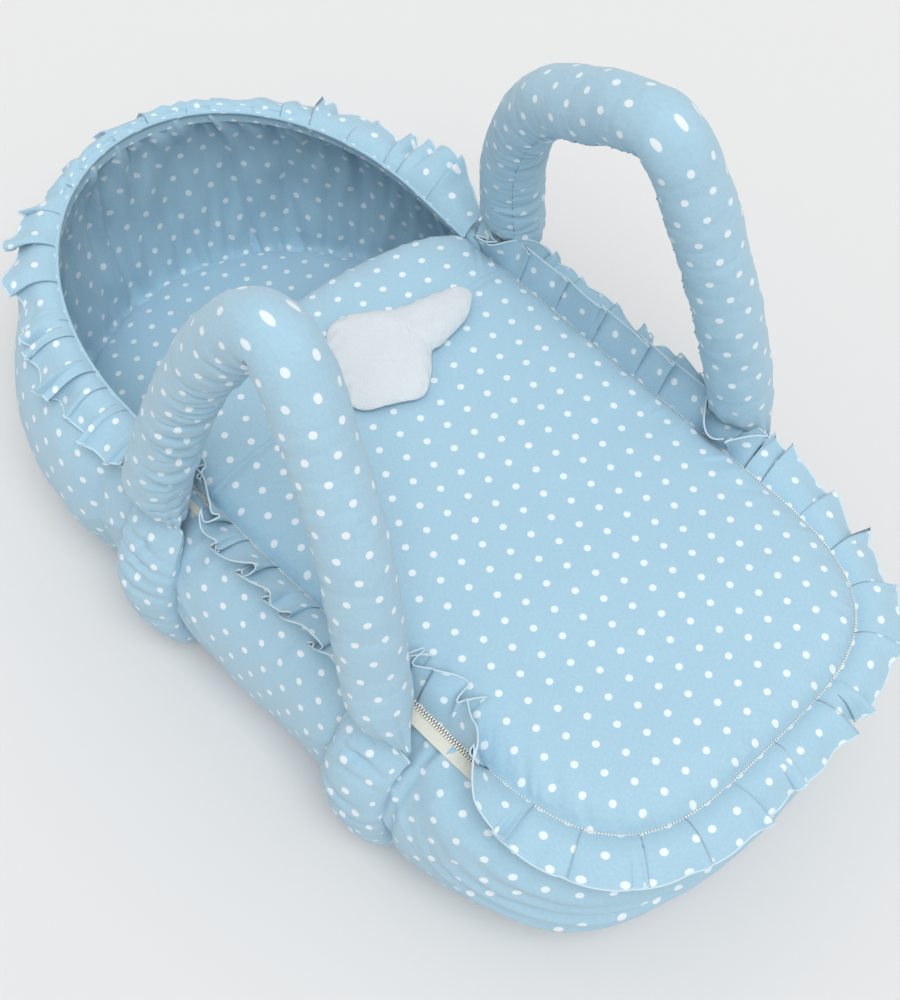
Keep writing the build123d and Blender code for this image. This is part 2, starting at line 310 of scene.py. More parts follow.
# ---- plan outline, the same stations for every level -------------------------------------------
def plan_labels(count):
    """(segment, share) labels of count points spaced evenly round the reference outline."""
    seg, share = [], []
    for s in range(4):
        q = np.linspace(0, 1, 400, endpoint=False)
        seg.append(np.full(400, s))
        share.append(q)
    seg, share = np.concatenate(seg), np.concatenate(share)
    pts = plan_points(seg, share, 190.0, 375.0, 370.0)
    run = np.r_[0, np.cumsum(np.linalg.norm(np.diff(np.vstack([pts, pts[:1]]), axis=0), axis=1))]
    at = np.arange(count) / count * run[-1]
    label = np.interp(at, run, np.r_[seg + share, 4.0])
    return np.minimum(label.astype(int), 3), label % 1, at, run[-1]


def plan_points(seg, share, width, head, foot, square=3.6):
    """Plan points of one level: right side, head ellipse, left side, squarer foot."""
    x, y = np.zeros(len(seg)), np.zeros(len(seg))
    head_angle = share * math.pi
    foot_angle = share * math.pi
    power = 2 / square
    c, s = np.cos(foot_angle), np.sin(foot_angle)
    for k, (px, py) in enumerate((
        (width + 0 * share, FOOT_TURN + share * (HEAD_TURN - FOOT_TURN)),
        (width * np.cos(head_angle), HEAD_TURN + (head - HEAD_TURN) * np.sin(head_angle)),
        (-width + 0 * share, HEAD_TURN + share * (FOOT_TURN - HEAD_TURN)),
        (-width * np.sign(c) * np.abs(c) ** power, FOOT_TURN - (foot + FOOT_TURN) * np.abs(s) ** power),
    )):
        x = np.where(seg == k, px, x)
        y = np.where(seg == k, py, y)
    return np.stack([x, y], 1)


def rim_rise(y):
    return HEAD_RISE * (np.clip(y - 50, 0, 400) / 320) ** 0.8


def pillow_legs(x, y, side, root_y):
    """How near a point is to a handle's lower leg, 0 to 1."""
    return bump(y, root_y, 34) * (np.sign(x) == side)


# ---- the padded wall ---------------------------------------------------------------------------
COUNT = 760
SEG, SHARE, ALONG, PERIMETER = plan_labels(COUNT)


def wall_grid(profile, rows):
    """Grid from a profile of (half width, head reach, foot reach, z), with the rim's climb added."""
    levels, down = even(profile, rows)
    grid = np.zeros((rows, COUNT, 3))
    for r, (w, head, foot, z) in enumerate(levels):
        xy = plan_points(SEG, SHARE, w, head, foot, 2.75 + 0.85 * smooth(z, 110, 180))
        grid[r, :, :2] = xy
        grid[r, :, 2] = z + rim_rise(xy[:, 1]) * smooth(z, 20, 182)
    return grid, down


def closed_uv(down):
    u = np.r_[ALONG, PERIMETER]
    return np.stack(np.broadcast_arrays(u[None, :], down[:, None]), 2)


outside = [
    (156, 361, 352, 168), (157, 363, 356, 176), (163, 370, 362, 180.5), (171, 376, 368, 177),
    (187, 382, 375, 166),
    (205, 385, 380, 146), (215, 387, 382, 120), (217, 386, 381, 92), (211, 377, 374, 60), (199, 361, 357, 30),
    (189, 349, 344, 12), (185, 345, 339, 6), (180, 340, 334, 1.5), (168, 329, 323, 0.0),
]
grid, down = wall_grid(outside, 150)
n = -normals(grid, True)
x, y, z = grid[..., 0], grid[..., 1], grid[..., 2]
d = np.broadcast_to(down[:, None], x.shape)
a = np.broadcast_to(ALONG[None, :], x.shape)
below_rim = np.clip(d - 14, 0, None)
move = gathers(a, below_rim, PERIMETER, 21, 5.0, 3.6, 110, 3) * smooth(d, 8, 30)
near_base = np.clip(down[-1] - 22 - d, 0, None)
move += gathers(a, near_base, PERIMETER, 26, 7, 3.0, 90, 5) * smooth(down[-1] - d, 18, 40)
move += 4.0 * waves(grid, 110, 1) * smooth(d, 15, 60) * smooth(down[-1] - d, 15, 60)
move += 1.3 * waves(grid * [1, 1, 0.45], 26, 2) * smooth(d, 15, 50)
for side in (-1, 1):
    move -= 8 * bump(y, 140, 26) * (np.sign(x) == side) * smooth(d, 20, 60)
    for root in (REAR_Y, FRONT_Y):
        near = pillow_legs(x, y, side, root)
        move -= 11 * near * smooth(d, 20, 60)
        for k in range(5):
            slope = (0.25 + 0.22 * k) * (1 if k % 2 else -1)
            ridge = bump(z - (RIM_Z - 16) + slope * (np.abs(y - root) - 10) * 1.6 + 11 * k, 0, 5)
            beside = 1.6 * ridge * (np.sign(x) == side) * smooth(-np.abs(y - root), -110, -45)
            move += beside * smooth(d, 12, 35)
# long folds that run from the front left root under the frill and round the foot
start = ALONG[np.argmin(np.abs(grid[60, :, 1] - (FRONT_Y - 20)) + 1000 * (grid[60, :, 0] > 0))]
for k, (drop, tall) in enumerate(((28, 3.6), (52, 4.2), (80, 3.4), (112, 2.6))):
    run = a - start
    line = RIM_Z - 8 - drop * (1 - np.exp(-np.clip(run, 0, None) / 95)) - 0.03 * run
    move += tall * bump(z, line, 6.5) * smooth(run, 5, 50) * smooth(-run, -430 + 40 * k, -250 + 30 * k)
    move -= 0.7 * tall * bump(z, line - 13, 7) * smooth(run, 5, 50) * smooth(-run, -430 + 40 * k, -250)
# panel seams and the piped seam round the base
for side in (-1, 1):
    for seam_y in (148.0, FOOT_TURN - 22):
        move -= 3.0 * bump(y, seam_y, 3.2) * (np.sign(x) == side) * smooth(d, 18, 30)
move -= 3.0 * bump(z, 9, 3.0) * (d > 120)
move += 1.6 * bump(z, 3.5, 2.4) * (d > 120)
grid = grid + n * move[..., None]
grid[..., 2] = np.maximum(grid[..., 2], 0.0)
uv = closed_uv(down)
wall = cloth_mesh("nest_wall", grid, uv, closed=True)
dress(wall, COTTON, "dotted_cotton", "nest", "wall_cloth_left", "wall_cloth_right", "wall_cloth_head",
      "wall_cloth_foot", "wall_foam_left", "wall_foam_right", "rim_binding_foot")

inside = [
    (160, 334, 330, 14), (181, 352, 350, 22), (187, 359, 355, 45), (191, 363, 360, 80), (188, 363, 359, 112),
    (179, 361, 356, 142), (166, 360, 352, 162), (158, 363, 355, 174), (161, 368, 361, 180.4),
]
grid, down = wall_grid(inside, 100)
n = normals(grid, True)
x, y, z = grid[..., 0], grid[..., 1], grid[..., 2]
top = down[-1] - np.broadcast_to(down[:, None], x.shape)
a = np.broadcast_to(ALONG[None, :], x.shape)
below_seam = np.clip(top - 6, 0, None)
move = gathers(a, below_seam, PERIMETER, 13, 3.2, 7.0, 190, 8) * (0.35 + 0.65 * smooth(top, 2, 14))
move += gathers(a, np.clip(down[-1] - top - 25, 0, None), PERIMETER, 22, 4.0, 6.0, 150, 9)
move += 7.0 * waves(grid * [1, 1, 0.35], 55, 4) * smooth(top, 8, 50)
move += 3.0 * waves(grid * [1, 1, 0.22], 15, 6) * smooth(top, 8, 40)
for seam_x, on_head in ((-30.0, 1), (40.0, -1)):
    side_of = (np.sign(y) == on_head) & (np.abs(y) > 250)
    move += (5.0 * bump(x, seam_x, 26) - 9.5 * bump(x, seam_x, 4.0)) * side_of * smooth(top, 4, 14)
move -= 8.0 * bump(y, 262 - 0.22 * (z - 60), 4.0) * (x < 0) * smooth(top, 4, 14)
grid = grid + n * move[..., None]
lining = cloth_mesh("nest_lining", grid, closed_uv(down), closed=True)
dress(lining, COTTON, "dotted_cotton", "nest", "wall_lining_left", "wall_lining_right")

# ---- base and mattress -------------------------------------------------------------------------
def disc(rim_level, height, rows, around, seed, rough=1.0, square=3.2):
    """Round-edged pad: rim_level is (half width, head reach, foot reach); height(r) gives the top."""
    seg, share, _, _ = plan_labels(around)
    rim = plan_points(seg, share, *rim_level, square)
    r = np.linspace(0, 1, rows) ** 0.75
    g = np.zeros((rows, around, 3))
    g[..., 0] = rim[None, :, 0] * r[:, None]
    g[..., 1] = rim[None, :, 1] * r[:, None]
    g[..., 2] = height(r[:, None] + 0 * g[..., 0])
    g[..., 2] += rough * waves(g, 60, seed) * (1 - r[:, None] ** 6)
    return g


def planar(grid):
    uv = grid[..., :2]
    return np.concatenate([uv, uv[:, :1]], 1)


mattress_top = box_mm("mattress_cover")[1][2]


def mattress_height(r):
    edge = np.sqrt(np.clip(1 - r**10, 0, 1))
    return 15 + (mattress_top - 15) * edge + 5.0 * (1 - r**2)


g = disc((181, 353, 349), mattress_height, 90, 420, 11, rough=2.6)
ring = np.linspace(0, 1, 90)[:, None] ** 0.75
seam = 1.4 * np.sin(np.arctan2(g[..., 1], g[..., 0]) * 46) * smooth(ring, 0.86, 0.97)
g[..., 2] += seam
mattress = cloth_mesh("mattress_pad", g[::-1], planar(g[::-1]), closed=True, cap_first=True)
dress(mattress, COTTON, "dotted_cotton", "nest", "mattress_cover", "mattress_foam", "base_board")

g = disc((168, 329, 323), lambda r: 0 * r, 8, 420, 12, rough=0.0, square=2.75)
base = cloth_mesh("nest_base", g, planar(g), closed=True)
dress(base, COTTON, "quilted_cotton", "nest", "base_panel")


# ---- cover -------------------------------------------------------------------------------------
def cover_outline(count):
    """Plan of the cover's sewn edge, counter-clockwise from the front right, evenly spaced."""
    t = np.linspace(0, 1, 600, endpoint=False)
    w = SEAM_W - 2.0
    right = np.stack([w + 0 * t, FOOT_TURN + t * (TONGUE_TURN - FOOT_TURN)], 1)
    c, s = np.cos(t * math.pi), np.sin(t * math.pi)
    tongue = np.stack([w * np.sign(c) * np.abs(c) ** (2 / 1.9),
                       TONGUE_TURN + (TONGUE_Y - TONGUE_TURN) * np.abs(s) ** (2 / 1.9)], 1)
    left = right[::-1] * [-1, 1]
    depth = SEAM_FOOT - 2.0 + FOOT_TURN
    foot = np.stack([-w * np.sign(c) * np.abs(c) ** (2 / 3.6), FOOT_TURN - depth * np.abs(s) ** (2 / 3.6)], 1)
    pts = np.vstack([right, tongue, left, foot])
    pts = np.vstack([pts, pts[:1]])
    run = np.r_[0, np.cumsum(np.linalg.norm(np.diff(pts, axis=0), axis=1))]
    at = np.arange(count) / count * run[-1]
    return np.stack([np.interp(at, run, pts[:, k]) for k in range(2)], 1), at, run[-1]


AROUND = 640
edge, edge_at, edge_total = cover_outline(AROUND)


def edge_distance(points):
    """Distance in mm from plan points to the cover's edge."""
    flat = points.reshape(-1, 2)
    out = np.empty(len(flat))
    for i in range(0, len(flat), 4000):
        chunk = flat[i:i + 4000]
        out[i:i + 4000] = np.sqrt(((chunk[:, None] - edge[None]) ** 2).sum(2).min(1))
    return out.reshape(points.shape[:-1])


COVER_BASE = RIM_Z + 2.0


def cover_height(points):
    """Height of the cover's top face at plan points."""
    away = edge_distance(points)
    crown = COVER_TOP - COVER_BASE - 1.0
    h = crown * (0.62 * (1 - np.exp(-away / 9.0)) + 0.38 * (1 - np.exp(-away / 60.0)))
    place = np.concatenate([points, 0 * points[..., :1]], -1)
    h = h + (1.9 * waves(place, 95, 21) + 0.7 * waves(place, 33, 22)) * smooth(away, 3, 30)
    h = h - 2.6 * bump(points[..., 1], HEM_Y, 4.0) * smooth(away, 2, 12)
    return COVER_BASE + h


rows = np.r_[0.0, np.cumsum(np.r_[np.full(34, 0.02), np.full(24, 0.0085), np.full(30, 0.0038)])]
rows = rows / rows[-1]
centre = np.array([0.0, -100.0])
g = np.zeros((len(rows), AROUND, 3))
g[..., :2] = centre + (edge[None] - centre) * rows[:, None, None]
g[..., 2] = cover_height(g[..., :2])
away = edge_distance(g[..., :2])
pucker = gathers(edge_at[None, :], away, edge_total, 10, 2.6, 3.0, 30, 31)
pucker += gathers(edge_at[None, :], away, edge_total, 44, 7.0, 1.8, 85, 32) * (g[..., 1] < HEM_Y - 20)
g[..., 2] += pucker * smooth(away, 0.5, 6)
under = np.stack([centre + (edge - centre) * k for k in (0.985, 0.90, 0.5, 0.02)])
under = np.concatenate([under, np.full(under.shape[:2] + (1,), RIM_Z + 1.8)], 2)
g = np.vstack([g, under])
cover = cloth_mesh("cover", g, planar(g), closed=True, cap_first=True, cap_last=True)
dress(cover, COTTON, "dotted_cotton", "cover", "cover_quilt", "cover_flap", "cover_lining")

# tape that covers the seam between the quilt and the flap
tx = np.linspace(-(SEAM_W - 5), SEAM_W - 5, 160)
strip = []
for off, lift in ((-2.6, 0.0), (-2.1, 1.0), (0.0, 1.3), (2.1, 1.0), (2.6, 0.0)):
    p = np.stack([tx, np.full(160, HEM_Y + off) + 0.8 * np.sin(tx / 40)], 1)
    strip.append(np.concatenate([p, (cover_height(p) + lift)[:, None]], 1))
g = np.array(strip)
hem = cloth_mesh("hem_tape", g, g[..., :2])
dress(hem, COTTON, "hem_tape", "cover", "cover_hem_tape")


# ---- frills ------------------------------------------------------------------------------------
def frill(name, path, out, width, start, end, ratio, seed, pitch=34.0, wild=0.12):
    """Gathered and folded strip sewn along path; out are unit vectors away from the seam.

    start and end are the strip's angles above the horizontal at the seam and at its free edge,
    one per path point. ratio sets how far the folds lap: 1 is flat, and the strip comes out 9 to 22%
    longer than ratio times the seam.
    """
    local = np.random.default_rng(seed)
    run = np.r_[0, np.cumsum(np.linalg.norm(np.diff(path, axis=0), axis=1))]
    total = run[-1]
    stops, sizes = [0.0], []
    while stops[-1] < total:
        sizes.append(pitch * local.uniform(0.72, 1.28))
        stops.append(stops[-1] + sizes[-1])
    stops = np.array(stops) * total / stops[-1]
    along, lift_at, kick = [], [], []
    for i in range(len(stops) - 1):
        low, high = stops[i], stops[i + 1]
        back = (high - low) * (ratio - 1) / 2 * local.uniform(0.7, 1.25)
        hgt = local.uniform(0.55, 1.15)
        # a flat panel, a fold that laps forward over the next panel, and the return under it
        span = high - low
        for place, h in ((low, 0.0), (low + 0.5 * span, 0.25), (high, 0.55), (high + 0.6 * back, 0.85),
                         (high + back, 1.0), (high + 0.7 * back, 0.55), (high + 0.2 * back, 0.2)):
            along.append(place)
            lift_at.append(h * hgt)
            kick.append(local.normal(0, wild))
    along.append(total)
    lift_at.append(0.0)
    kick.append(0.0)
    ctrl = np.stack([along, np.array(lift_at) * 10, np.array(kick) * 10], 1)
    cols = len(ctrl) * 4
    line, cloth_at = even(ctrl, cols)
    across = np.linspace(0, 1, FRILL_ROWS)
    s = np.clip(line[:, 0], 0, total)
    base = np.stack([np.interp(s, run, path[:, k]) for k in range(3)], 1)
    away = np.stack([np.interp(s, run, out[:, k]) for k in range(3)], 1)
    away /= np.linalg.norm(away, axis=1, keepdims=True)
    a0, a1 = np.interp(s, run, start), np.interp(s, run, end)
    a1 = a1 + line[:, 2] * 6 + line[:, 1] * 0.8
    wide = np.interp(s, run, width) * (1 + 0.04 * line[:, 2])
    up = np.array([0, 0, 1.0])
    tangent = np.gradient(path, axis=0)
    tangent /= np.linalg.norm(tangent, axis=1, keepdims=True)
    tan = np.stack([np.interp(s, run, tangent[:, k]) for k in range(3)], 1)
    g = np.zeros((len(across), cols, 3))
    spot = base.copy()
    uv = np.zeros((len(across), cols, 2))
    for r, w in enumerate(across):
        ang = np.radians(a0 + (a1 - a0) * min(w * 1.5, 1.0))
        head = away * np.cos(ang)[:, None] + up * np.sin(ang)[:, None]
        face = -away * np.sin(ang)[:, None] + up * np.cos(ang)[:, None]
        if r:
            spot = spot + head * (wide / (len(across) - 1))[:, None]
        thick = line[:, 1] * (0.07 + 0.46 * w)
        g[r] = spot + face * thick[:, None] + tan * (line[:, 2] * w * 1.2)[:, None]
        uv[r] = np.stack([cloth_at, w * wide], 1)
    piece = cloth_mesh(name, g, uv)
    return piece, cloth_at[-1], g[-1]


def nest_edge(z, width, head, foot, count=900):
    """Closed path round the rim with its outward directions, counter-clockwise from the front right."""
    seg, share, _, _ = plan_labels(count)
    xy = plan_points(seg, share, width, head, foot)
    path = np.concatenate([xy, (z + rim_rise(xy[:, 1]))[:, None]], 1)
    t = np.roll(xy, -1, 0) - np.roll(xy, 1, 0)
    out = np.stack([t[:, 1], -t[:, 0], 0 * t[:, 0]], 1)
    return path, out / np.linalg.norm(out, axis=1, keepdims=True)


def add_frill(name, path, out, width, start, end, ratio, seed, body, node, pitch=34.0, wild=0.12):
    piece, length, rim = frill(name, path, out, width, start, end, ratio, seed, pitch, wild)
    dress(piece, COTTON, "dotted_cotton", body, node)
    ring = np.array([(0.75 * math.cos(v), 0.75 * math.sin(v)) for v in np.arange(6) * math.pi / 3])
    t = np.gradient(rim, axis=0)
    t /= np.maximum(np.linalg.norm(t, axis=1, keepdims=True), 1e-9)
    first = np.cross(t, [0.13, 0.21, 0.97])
    first /= np.maximum(np.linalg.norm(first, axis=1, keepdims=True), 1e-9)
    second = np.cross(t, first)
    roll = rim[:, None] + first[:, None] * ring[None, :, :1] + second[:, None] * ring[None, :, 1:]
    fold = cloth_mesh(name.replace("cloth", "edge"), roll, np.zeros((len(rim), 7, 2)), closed=True)
    dress(fold, EDGE, "dotted_cotton", body)
    return piece


def spread(count, stops, values):
    """Values along count points, smooth between stops given as shares of the path."""
    return np.interp(np.linspace(0, 1, count), stops, values)


rim_path, rim_out = nest_edge(RIM_Z - 1.5, 154.0, RIM_HEAD - 10, 352)
keep = rim_path[:, 1] > REAR_Y + 24
order = np.nonzero(keep)[0]
order = order[np.argsort((order - order[0]) % len(keep))]
head_path, head_out = rim_path[order], rim_out[order]
m = len(order)
start = spread(m, (0, 0.15, 0.28, 0.5, 0.66, 0.74, 1), (62, 50, 34, 30, 38, 50, 62))
end = spread(m, (0, 0.1, 0.2, 0.3, 0.5, 0.6, 0.66, 0.72, 0.9, 1),
             (-10, -28, -45, -78, -82, -70, -30, -44, -48, -20))
width = spread(m, (0, 0.04, 0.22, 0.3, 0.6, 0.68, 0.96, 1), (24, 42, 38, 32, 32, 42, 45, 28))
add_frill("frill_head_cloth", head_path, head_out, width, start, end, 1.85, 41, "nest", "frill_head",
          28.0, 0.2)

seam_path = np.concatenate([edge, np.full((AROUND, 1), RIM_Z + 3.5)], 1)
t = np.roll(edge, -1, 0) - np.roll(edge, 1, 0)
seam_out = np.stack([t[:, 1], -t[:, 0], 0 * t[:, 0]], 1)
seam_out /= np.linalg.norm(seam_out, axis=1, keepdims=True)
ys = edge[:, 1]
for side, name in ((1, "right"), (-1, "left")):
    pick = np.nonzero((edge[:, 0] * side > 100) & (ys < ZIP_HEAD_Y - 4) & (ys > FRONT_Y - 34))[0]
    # Known fault: on the right the stored order wraps past the outline's end, so after the seam the
    # path runs straight back to the front and the frill there is doubled.
    path, out = seam_path[pick], seam_out[pick]
    py = path[:, 1]
    m = len(pick)
    rear_near, front_near = bump(py, REAR_Y, 30), bump(py, FRONT_Y, 30)
    if side > 0:
        start = 42 + 45 * rear_near + 45 * front_near
        end = -8 + 105 * rear_near + 135 * front_near
        width = 35 - 9 * rear_near - 12 * front_near
    else:
        ahead = smooth(-py, 105, 150)
        start = 62 + 30 * rear_near + 41 * ahead
        end = 14 + 90 * rear_near + 112 * ahead
        width = 34 - 6 * rear_near
    add_frill(f"frill_side_{name}_cloth", path, out, width, start, end, 1.6 if side > 0 else 1.9, 50 + side,
              "cover", f"frill_side_{name}", 37.0 if side > 0 else 29.0, 0.12 if side > 0 else 0.30)

pick = np.nonzero(ys < FRONT_Y - 30)[0]
path, out = seam_path[pick], seam_out[pick]
m = len(pick)
start = spread(m, (0, 0.05, 0.12, 0.9, 1), (100, 88, 45, 42, 45))
end = spread(m, (0, 0.04, 0.1, 0.18, 0.5, 0.8, 0.92, 1), (126, 105, 20, -34, -48, -46, -34, -12))
width = spread(m, (0, 0.1, 0.9, 1), (33, 38, 38, 34))
add_frill("frill_foot_cloth", path, out, width, start, end, 1.7, 61, "cover", "frill_foot", 35.0)


# ---- handles -----------------------------------------------------------------------------------
def tube(name, line, radii, side_hint, count=72, inner=None, seed=0, gather_ends=()):
    """Stuffed tube along line; radii is (across, along Y) per row; wrinkles are deepest on its inner side."""
    run = np.r_[0, np.cumsum(np.linalg.norm(np.diff(line, axis=0), axis=1))]
    tan = np.gradient(line, axis=0)
    tan /= np.linalg.norm(tan, axis=1, keepdims=True)
    across = side_hint - tan * (tan @ side_hint)[:, None]
    across /= np.linalg.norm(across, axis=1, keepdims=True)
    other = np.cross(tan, across)
    ang = np.linspace(0, 2 * math.pi, count, endpoint=False)
    g = (line[:, None] + across[:, None] * (np.cos(ang)[None, :, None] * radii[:, None, :1])
         + other[:, None] * (np.sin(ang)[None, :, None] * radii[:, None, 1:]))
    nrm = g - line[:, None]
    nrm /= np.maximum(np.linalg.norm(nrm, axis=2, keepdims=True), 1e-6)
    local = np.random.default_rng(seed)
    move = 1.6 * waves(g, 42, seed + 3) + 0.5 * waves(g, 14, seed + 4)
    facing = (nrm * inner[:, None]).sum(2) if inner is not None else 0 * move
    near = np.clip(facing, 0, 1)
    at = 0.0
    while at < run[-1]:
        at += local.uniform(5, 15)
        deep = local.uniform(1.2, 5.0)
        wide = local.uniform(1.9, 3.6)
        bend = local.normal(0, 7)
        line_at = at + bend * np.sin(ang + local.uniform(0, 6))[None, :]
        reach = local.uniform(0.7, 1.8)
        move -= deep * np.exp(-(((run[:, None] - line_at) / wide) ** 2)) * (0.08 + near**reach)
    for end_at in gather_ends:
        close = np.exp(-np.abs(run - (0 if end_at == 0 else run[-1])) / 28)[:, None]
        ridges = np.sin(ang * 11 + 1.3 * np.sin(ang * 3 + seed))[None, :]
        move += 1.9 * ridges * close
    swell = np.minimum(radii[:, :1], 12) / 12
    g = g + nrm * (move * swell)[..., None]
    g[..., 2] = np.maximum(g[..., 2], 0.4)
    round_at = np.linspace(0, 2 * math.pi * 25, count + 1)
    uv = np.stack(np.broadcast_arrays(round_at[None, :], run[:, None]), 2)
    return cloth_mesh(name, g, uv, closed=True, cap_first=True, cap_last=True)


lean = math.radians(HANDLE_LEAN)
apex = (HANDLE_TOP - RIM_Z) / math.cos(lean) - 25.0
ARCHES = {
    "left": ((REAR_Y + 2, 2), (REAR_Y + 3, 14), (REAR_Y, 50), (70, 115), (50, 183), (28, 0.79 * apex),
             (2, 0.945 * apex), (-24, apex + 3), (-52, 0.945 * apex), (-80, 0.78 * apex), (-103, 190),
             (-126, 125), (-144, 60), (FRONT_Y + 3, 14), (FRONT_Y, 2)),
    "right": ((REAR_Y + 2, 2), (REAR_Y + 1, 14), (REAR_Y, 50), (80, 115), (62, 178), (34, 0.765 * apex),
              (-6, 0.875 * apex), (-48, 0.965 * apex), (-80, 0.975 * apex), (-106, 0.81 * apex), (-124, 190),
              (-143, 125), (-156, 60), (FRONT_Y + 2, 14), (FRONT_Y, 2)),
}
for name, side in (("left", -1), ("right", 1)):
    up = np.array([-side * math.sin(lean), 0, math.cos(lean)])
    root = np.array([side * HANDLE_X, 0, RIM_Z])
    flat = np.array(ARCHES[name])
    pts = root + np.stack([0 * flat[:, 0], flat[:, 0], 0 * flat[:, 0]], 1) + up * flat[:, 1:]
    line, at = even(pts, 430)
    total = at[-1]
    from_end = np.minimum(at, total - at)
    thick = 3.2 + (SLEEVE_RADIUS - 3.2) * np.sin(np.clip(from_end / 46, 0, 1) * math.pi / 2) ** 0.8
    wide = 28 - 2.5 * smooth(from_end, 0, 60)
    bend_y = -30.0 if name == "left" else -74.0
    turn = np.argmin(np.abs(line[:, 1] - bend_y) + 1000 * (line[:, 2] < RIM_Z + 200))
    crease = bump(at, at[turn], 6.5) + 0.4 * bump(at, at[turn] - 17, 5) + 0.4 * bump(at, at[turn] + 19, 6)
    wide = wide + 0.8 * np.sin(at / 37)
    centre = root + np.array([0, -35.0, 0]) + up * 120
    inner = centre - line
    inner /= np.linalg.norm(inner, axis=1, keepdims=True)
    obj = tube(f"handle_{name}", line, np.stack([thick, wide], 1), np.array([1.0, 0, 0]),
               inner=inner, seed=70 + side, gather_ends=(0, 1))
    co = np.array([v.co for v in obj.data.vertices]) * 1000
    shape = co.reshape(len(line), -1, 3)
    face = ((shape - line[:, None]) * inner[:, None]).sum(2)
    dent = CREASE_DEPTH * crease[:, None] * smooth(face, 0, 24)
    shape = shape - inner[:, None] * dent[..., None]
    obj.data.vertices.foreach_set("co", (shape / 1000).astype(np.float32).ravel())
    obj.data.update()
    dress(obj, COTTON, "dotted_cotton", f"handle_{name}", f"handle_sleeve_{name}", f"handle_webbing_{name}",
          f"handle_tacks_{name}")
    # hand-sewn closing seam along the inner side
    toward = inner * 0.75 + np.array([-side, 0, 0]) * 0.65
    col = np.argmax(((shape - line[:, None]) * toward[:, None]).sum(2), axis=1)
    col = np.full(len(line), int(np.median(col)))
    stitch = shape[np.arange(len(line)), col]
    pieces = []
    for i in range(18, len(line) - 18, 4):
        pieces.append((stitch[i], stitch[i + 2], inner[i]))
    verts, faces = [], []
    for p, q, face_dir in pieces:
        d0 = q - p
        side_dir = np.cross(d0, face_dir)
        side_dir /= np.linalg.norm(side_dir)
        slant = side_dir * 1.0
        b = len(verts)
        for c in (p - slant, q - slant * 0.2, q + slant, p + slant * 0.2):
            verts.append((c + face_dir * 0.25) / 1000)
        faces.append((b, b + 1, b + 2, b + 3))
    data = bpy.data.meshes.new(f"handle_stitches_{name}")
    data.from_pydata([tuple(v) for v in verts], [], faces)
    sewn = bpy.data.objects.new(f"handle_stitches_{name}", data)
    bpy.context.scene.collection.objects.link(sewn)
    dress(sewn, THREAD, "dotted_cotton", f"handle_{name}")

    for where, root_y in (("rear", REAR_Y), ("front", FRONT_Y)):
        pts = np.array([(190, 181), (193, 172), (201, 158), (211, 134), (216, 104), (213, 68), (204, 36),
                        (193, 13), (187, 5)])
        pts = np.stack([side * pts[:, 0], np.full(len(pts), root_y), pts[:, 1]], 1)
        pts[:, 1] += (6 if where == "front" else -4) * np.sin(np.linspace(0, math.pi, len(pts)))
        line, at = even(pts, 90)
        tall = at / at[-1]
        thick = 3.0 + 14.0 * np.sin(np.clip(tall * 2.6, 0, 1) * math.pi / 2) ** 0.9
        thick *= 1 - 0.75 * smooth(tall, 0.84, 1.0)
        wide = 29 + 2 * np.sin(tall * math.pi) - 7 * smooth(tall, 0.85, 1.0)
        outward = np.tile([side * 0.8, 0, 0.6], (len(line), 1))
        obj = tube(f"handle_leg_{name}_{where}_cloth", line, np.stack([thick, wide], 1),
                   np.array([1.0, 0, 0]), count=64, inner=outward,
                   seed=80 + side + (5 if where == "front" else 0), gather_ends=(0,))
        dress(obj, COTTON, "dotted_cotton", "nest", f"handle_leg_{name}_{where}")


# ---- zip ---------------------------------------------------------------------------------------
def zip_order():
    """Edge points along the zip: from its left end round the foot to its right end."""
    pick = np.nonzero(ys < ZIP_HEAD_Y)[0]
    tip = np.argmax(ys)
    return np.r_[pick[pick > tip], pick[pick < tip]]


def band(name, inner, outer, z, material, slot, body, node, crown=0.6):
    """Tape along the zip line, between two offsets from it."""
    pick = zip_order()
    base_xy = edge[pick] + seam_out[pick, :2] * 2.0
    g = []
    for share in np.linspace(0, 1, 6):
        off = inner + (outer - inner) * share
        p = base_xy + seam_out[pick, :2] * off
        g.append(np.concatenate([p, np.full((len(p), 1), z + crown * math.sin(share * math.pi))], 1))
    g = np.array(g)
    length = np.r_[0, np.cumsum(np.linalg.norm(np.diff(base_xy, axis=0), axis=1))]
    uv = np.stack(np.broadcast_arrays(length[None, :], np.linspace(inner, outer, 6)[:, None]), 2)
    obj = cloth_mesh(name, g, uv)
    dress(obj, material, slot, body, node)
    return base_xy, length


